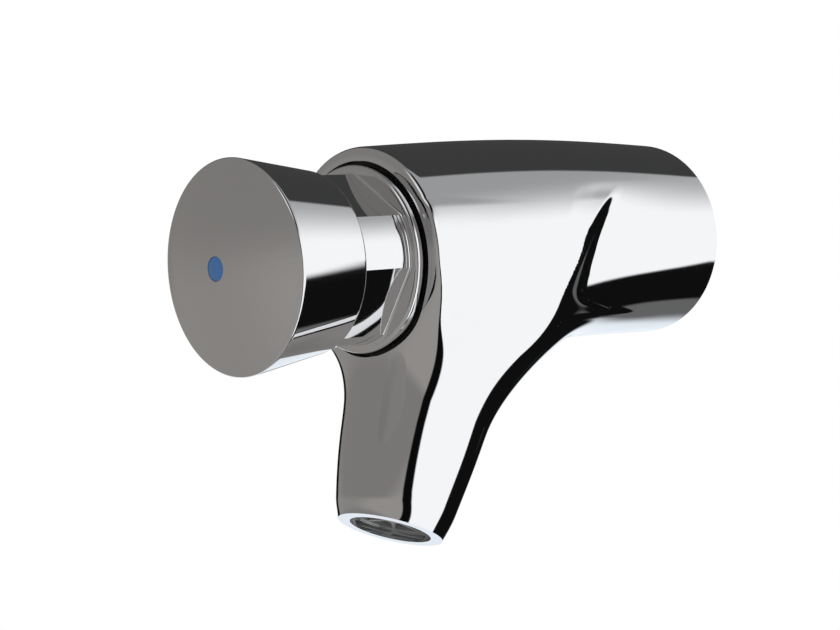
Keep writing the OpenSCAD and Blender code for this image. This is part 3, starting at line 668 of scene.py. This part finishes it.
# A ring of four flats, each reaching the given angle to both sides of its middle, and the rounds between
# them. Without a half width across the flats, the ring is round
def headRing(bm, radius, y, corner, half=None):
    form = headForm
    flat = [-corner + 2 * corner * i / form["flatSteps"] for i in range(form["flatSteps"])]
    gap = math.pi / 2 - 2 * corner
    curve = [corner + gap * i / form["roundSteps"] for i in range(form["roundSteps"])]
    points = []
    for quarter in range(4):
        middle = math.radians(form["turn"] + 90 * quarter)
        points += [(middle + a, half / math.cos(a) if half else radius) for a in flat]
        points += [(middle + a, radius) for a in curve]
    return addRing(bm, points, y)


def headBore(bm):
    turn(bm, headForm["bore"], 96, False)


def cartridgeHead():
    form = headForm
    half, neck, chamfer, fillet = form["across"] / 2, form["neck"], form["chamfer"], form["fillet"]
    flatted = [(neck - chamfer, half - chamfer, form["front"]), (neck, half, form["front"] + chamfer),
               (neck, half, form["front"] + 2 * chamfer),
               (neck, half, form["flangeFront"] - fillet - form["filletLead"])]
    for i in range(form["filletSteps"] + 1):
        a = math.radians(90 * i / form["filletSteps"])
        grow = fillet * (1 - math.cos(a))
        flatted.append((neck + grow, half + grow, form["flangeFront"] - fillet * (1 - math.sin(a))))
    plain = arcPoints(form["flange"] - form["flangeRound"], form["flangeFront"] + form["flangeRound"],
                      form["flangeRound"], -90, 0, 8)
    plain += [(form["flange"], form["flangeBack"] - form["edgeBreak"]),
              (form["flange"] - form["edgeBreak"], form["flangeBack"]), (form["shank"], form["flangeBack"]),
              (form["shank"], form["shankEnd"])]
    bm = bmesh.new()
    rings = [headRing(bm, r, y, math.acos(across / r), across) for r, across, y in flatted]
    rings += [headRing(bm, r, y, math.acos(half / neck)) for r, y in plain]
    joinRings(bm, rings)
    bmesh.ops.recalc_face_normals(bm, faces=bm.faces)
    mesh = cutAway(meshFrom(bm), [headBore])
    finishPiece(mesh, "cartridgeHead", "housing", chrome, "cartridge_head", 20)


# Flow straightener: a ring, a hub and eight vanes inside the outlet. The hub's nose is given by shares of its
# radius and the way back from the front
straightenerForm = {"ring": 8.7, "wall": 1.1, "hub": 1.8, "nose": [(0, -0.4), (0.6, -0.3), (1, 0.2)],
                    "from": 2, "to": 11, "vanes": 8, "vane": 0.9, "vaneGap": 0.1, "bevel": 0.2}


def flowStraightener():
    form = straightenerForm
    front, back, inner = form["from"], form["to"], form["ring"] - form["wall"]
    bm = bmesh.new()
    turn(bm, [(inner, front), (form["ring"], front), (form["ring"], back), (inner, back)], 96)
    nose = [(form["hub"] * share, front + way) for share, way in form["nose"]]
    turn(bm, nose + [(form["hub"], back), (0, back)], 48, False)
    long = form["ring"] - form["wall"] / 2
    size = Matrix.Diagonal((long, back - front - form["vaneGap"], form["vane"], 1))
    move = Matrix.Translation((long / 2, (front + back) / 2, 0))
    for i in range(form["vanes"]):
        spun = Matrix.Rotation(2 * math.pi * i / form["vanes"], 4, "Y")
        vane = bmesh.ops.create_cube(bm, size=1, matrix=spun @ move @ size)["verts"]
        bmesh.ops.bevel(bm, geom=edgesOf(vane), offset=form["bevel"], affect="EDGES", segments=2, profile=0.5,
                        material=-1)
    bmesh.ops.transform(bm, matrix=atOutlet, verts=bm.verts)
    finishPiece(meshFrom(bm), "flowStraightener", "housing", greyAcetal, "flow_straightener")


# Inlet tail: collar, bore and the half-inch pipe thread that goes into the wall fitting
tailForm = {"crest": 10.48, "root": 9.4, "pitch": 1.814, "flankTop": 1.15, "flankFall": 2.6, "leadIn": 1.6,
            "runOut": 1.2, "front": -14, "end": 9.99, "chamfer": 0.8, "edgeBreak": 0.3, "hole": 6,
            "bore": 7.5, "step": -8, "collar": 12.73, "collarFront": -1.8, "collarBack": -0.2,
            "around": 96, "rows": 14}


# Radius of the thread: flanks of about 55 degrees with narrow crests and roots, fading out at both ends
def threadRadius(angle, y):
    form = tailForm
    turns = (y / form["pitch"] - angle / (2 * math.pi)) % 1
    height = min(1, max(0, form["flankTop"] - abs(turns - 0.5) * form["flankFall"]))
    leadIn = min(1, (form["end"] - y) / form["leadIn"])
    runOut = min(1, max(0, (y - form["collarBack"]) / form["runOut"]))
    return form["root"] + (form["crest"] - form["root"]) * height * (leadIn * runOut)


def tailRing(bm, y, radius=None):
    angles = [2 * math.pi * i / tailForm["around"] for i in range(tailForm["around"])]
    return addRing(bm, [(a, radius or threadRadius(a, y)) for a in angles], y)


def inletTail():
    form = tailForm
    end, edgeBreak, collarBack = form["end"], form["edgeBreak"], form["collarBack"]
    bm = bmesh.new()
    boreSide = [(form["hole"], form["step"]), (form["bore"], form["step"]), (form["bore"], end - edgeBreak),
                (form["bore"] + edgeBreak, end), (form["root"] - edgeBreak, end)]
    rings = [tailRing(bm, y, r) for r, y in boreSide]
    count = int((end - collarBack) / form["pitch"] * form["rows"])
    for row in range(count, -1, -1):
        rings.append(tailRing(bm, collarBack + (end - edgeBreak - collarBack) * row / count))
    frontSide = [(form["collar"], collarBack), (form["collar"], form["collarFront"]),
                 (form["crest"], form["collarFront"]), (form["crest"], form["front"] + form["chamfer"]),
                 (form["crest"] - form["chamfer"], form["front"]), (form["hole"], form["front"])]
    rings += [tailRing(bm, y, r) for r, y in frontSide]
    joinRings(bm, rings, closed=True)
    bmesh.ops.recalc_face_normals(bm, faces=bm.faces)
    finishPiece(meshFrom(bm), "inletTail", "housing", brass, "inlet_tail", 40)


# Wall gasket: a flat ring with softened edges
gasketForm = {"inner": 15.1, "outer": 20.4, "depth": 2.8, "round": 0.5}


def wallGasket():
    rounding = gasketForm["round"]
    inner, outer = gasketForm["inner"] + rounding, gasketForm["outer"] - rounding
    front, back = rounding - gasketForm["depth"], -rounding
    outline = arcPoints(outer, back, rounding, 90, 0, 4) + arcPoints(outer, front, rounding, 0, -90, 4)
    outline += arcPoints(inner, front, rounding, -90, -180, 4) + arcPoints(inner, back, rounding, 180, 90, 4)
    bm = bmesh.new()
    turn(bm, outline, 128)
    finishPiece(meshFrom(bm), "wallGasket", "housing", rubber, "wall_gasket", 40)


# Return spring: round wire in eight turns, closed at both ends, where turns lie a little over a wire apart
springForm = {"radius": 10, "wire": 0.8, "turns": 8, "front": -95, "back": -62, "closed": 0.9, "apart": 1.04,
              "perTurn": 48, "sides": 12}


def returnSpring():
    form = springForm
    closed, wire = form["closed"], form["wire"]
    first, last = form["front"] + wire, form["back"] - wire
    seat = 2 * wire * form["apart"]
    count = int(form["turns"] * form["perTurn"])
    bm = bmesh.new()
    rings = []
    for i in range(count + 1):
        turns = form["turns"] * i / count
        climb = min(max((turns - closed) / (form["turns"] - 2 * closed), 0), 1)
        seated = min(turns, closed) + max(0, turns - form["turns"] + closed)
        y = first + seat * seated + (last - first - 2 * seat * closed) * climb
        spun = Matrix.Rotation(-2 * math.pi * turns, 4, "Y") @ Matrix.Translation((form["radius"], 0, 0))
        circle = bmesh.ops.create_circle(bm, cap_ends=False, radius=wire, segments=form["sides"],
                                         matrix=Matrix.Translation((0, y, 0)) @ spun)
        rings.append(edgesOf(circle["verts"]))
    joinRings(bm, rings)
    bmesh.ops.recalc_face_normals(bm, faces=bm.faces)
    mesh = meshFrom(bm)
    spring = finishPiece(mesh, "returnSpring", "housing", steel, "return_spring", 50)
    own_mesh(spring)


buttonDot()
cartridgeHead()
print("head and dot ready")
flowStraightener()
inletTail()
wallGasket()
returnSpring()
print("fittings ready")

# Finishes of the pieces that keep their CAD shapes
innerFinishes = [
    (rubber, ["head_seal", "rod_seal", "lip_seal", "sleeve_seal", "seat_seal", "valve_disc", "tail_seal"]),
    (brass, ["valve_seat", "valve_holder", "valve_nut"]),
    (steel, ["piston_rod", "piston_clip", "button_screw", "spring_washer", "inlet_strainer"]),
    (whiteAcetal, ["rod_bush", "piston", "flow_regulator"]),
    (greyAcetal, ["cartridge_sleeve"]),
]
for material, names in innerFinishes:
    for name in names:
        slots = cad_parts[name].data.materials
        slots.clear()
        slots.append(material)
print("inner pieces coloured")

# Studio: a surround of soft panels in bands along the tap's axis, over a pale floor
world = bpy.data.worlds.new("studio")
scene.world = world
world.use_nodes = True
tree = world.node_tree
tree.nodes.clear()
direction = addNode(tree, "ShaderNodeTexCoord").outputs["Generated"]
parts = addNode(tree, "ShaderNodeSeparateXYZ", Vector=direction)
dirX, dirY, dirZ = parts.outputs["X"], parts.outputs["Y"], parts.outputs["Z"]
bearing = addNode(tree, "ShaderNodeMath", {"operation": "ARCTAN2"}, in0=dirY, in1=dirX).outputs["Value"]


# A tone of the surround, tinted towards blue, or away from it below 0
def grey(level, blue=0.0):
    return (level, level * (1 + blue * 0.5), level * (1 + blue), 1.0)


# How much of a panel shows: each edge fades it in from one value to another
def showing(*edges):
    share = None
    for value, clear, full in edges:
        fade = addNode(tree, "ShaderNodeMapRange", {"interpolation_type": "SMOOTHSTEP"}, Value=value,
                       From_Min=clear, From_Max=full).outputs["Result"]
        if share is None:
            share = fade
        else:
            both = addNode(tree, "ShaderNodeMath", {"operation": "MULTIPLY"}, in0=share, in1=fade)
            share = both.outputs["Value"]
    return share


# Panels laid in turn over what is behind them
def layPanels(behind, *panels):
    for tone, share in panels:
        mixed = addNode(tree, "ShaderNodeMix", {"data_type": "RGBA"}, in0=share, in6=behind, in7=tone)
        behind = mixed.outputs[2]
    return behind


white, black = grey(1.25), grey(0.006)
# Towards the wall and up: a white panel on the right that dims upwards, and near-dark on the left
upperWhite = layPanels(white, (grey(0.42), showing((dirZ, 0.18, 0.66))))
upperBack = layPanels(grey(0.055), (upperWhite, showing((dirX, 0.10, 0.14))))
# Towards the wall and down, from left to right: cool white, grey, black and white
level = showing((dirZ, -0.45, -0.35), (dirY, 0.95, 0.93), (dirY, 0.79, 0.84))
greyBand = layPanels(grey(0.16), (black, showing((dirY, 0.80, 0.86))),
                     (grey(0.13), showing((dirY, 0.955, 0.975))), (black, level))
greyShare = layPanels(showing((dirX, -0.52, -0.26)), (showing((dirX, -0.66, -0.56)), level))
lowerBack = layPanels(grey(0.95, 0.13), (greyBand, greyShare), (black, showing((dirX, -0.03, 0.03))),
                      (white, showing((dirX, 0.48, 0.51))))
low = addNode(tree, "ShaderNodeMath", {"operation": "MAXIMUM"}, in0=showing((dirZ, -0.02, -0.08)),
              in1=showing((dirY, 0.89, 0.92), (dirZ, 0.4, 0.3)))
back = layPanels(upperBack, (lowerBack, low.outputs["Value"]))
# Towards the room: warm grey, darker above, a white panel overhead and a black strip on the right
front = layPanels(grey(0.32, -0.1), (grey(0.375, -0.1), showing((dirX, -0.85, -0.1))),
                  (grey(0.262, -0.1), showing((dirZ, -0.02, 0.25))),
                  (grey(1.0), showing((dirZ, 0.5, 0.62), (dirX, -0.05, 0.12), (dirY, -0.4, -0.55))),
                  (grey(0.004), showing((bearing, -0.58, -0.52), (dirX, 0.2, 0.3))))
# All round: a white panel straight to the right, and a black one to the left
rightward = showing((dirX, 0.2, 0.3), (bearing, -0.25, -0.19), (dirZ, 0.5, 0.3), (dirY, 0.5, 0.4))
leftward = showing((dirX, -0.70, -0.78), (dirZ, -0.22, -0.12), (dirY, 0.12, 0.22))
around = layPanels(front, (back, showing((dirY, 0.10, 0.30))), (white, rightward), (black, leftward))
sight = addNode(tree, "ShaderNodeLightPath").outputs["Is Camera Ray"]
seen = layPanels(around, (grey(1.0), sight))  # the backdrop itself is plain white
surround = addNode(tree, "ShaderNodeBackground", Color=seen, Strength=1.0)
addNode(tree, "ShaderNodeOutputWorld", Surface=surround.outputs["Background"])
print("studio ready")

# Camera at the photograph's viewing angle: focal length and picture width in pixels, sensor in mm, place in m
cameraForm = {"focal": 1900, "picture": 840, "sensor": 36, "place": (0.30078, -0.35685, -0.02024),
              "right": (0.67694, 0.72729, -0.11314), "up": (0.09014, 0.07064, 0.99342),
              "backward": (0.73050, -0.68268, -0.01774)}
camera = addObject("camera", bpy.data.cameras.new("camera"))
camera.data.lens = cameraForm["focal"] * cameraForm["sensor"] / cameraForm["picture"]
camera.data.sensor_width = cameraForm["sensor"]
turned = Matrix([Vector(cameraForm[side]) for side in ("right", "up", "backward")]).transposed()
camera.matrix_world = Matrix.Translation(cameraForm["place"]) @ turned.to_4x4()
scene.camera = camera

# Floor, in metres: it lights nothing and shows in no reflection
floorForm = {"radius": 0.5, "height": -0.3, "sides": 96}
bm = bmesh.new()
bmesh.ops.create_circle(bm, cap_ends=True, radius=floorForm["radius"], segments=floorForm["sides"],
                        matrix=Matrix.Translation((0, 0, floorForm["height"])))
floor = addObject("floor", meshFrom(bm))
floor.data.materials.append(paleBoard)
floor.visible_glossy = False
floor.visible_diffuse = False
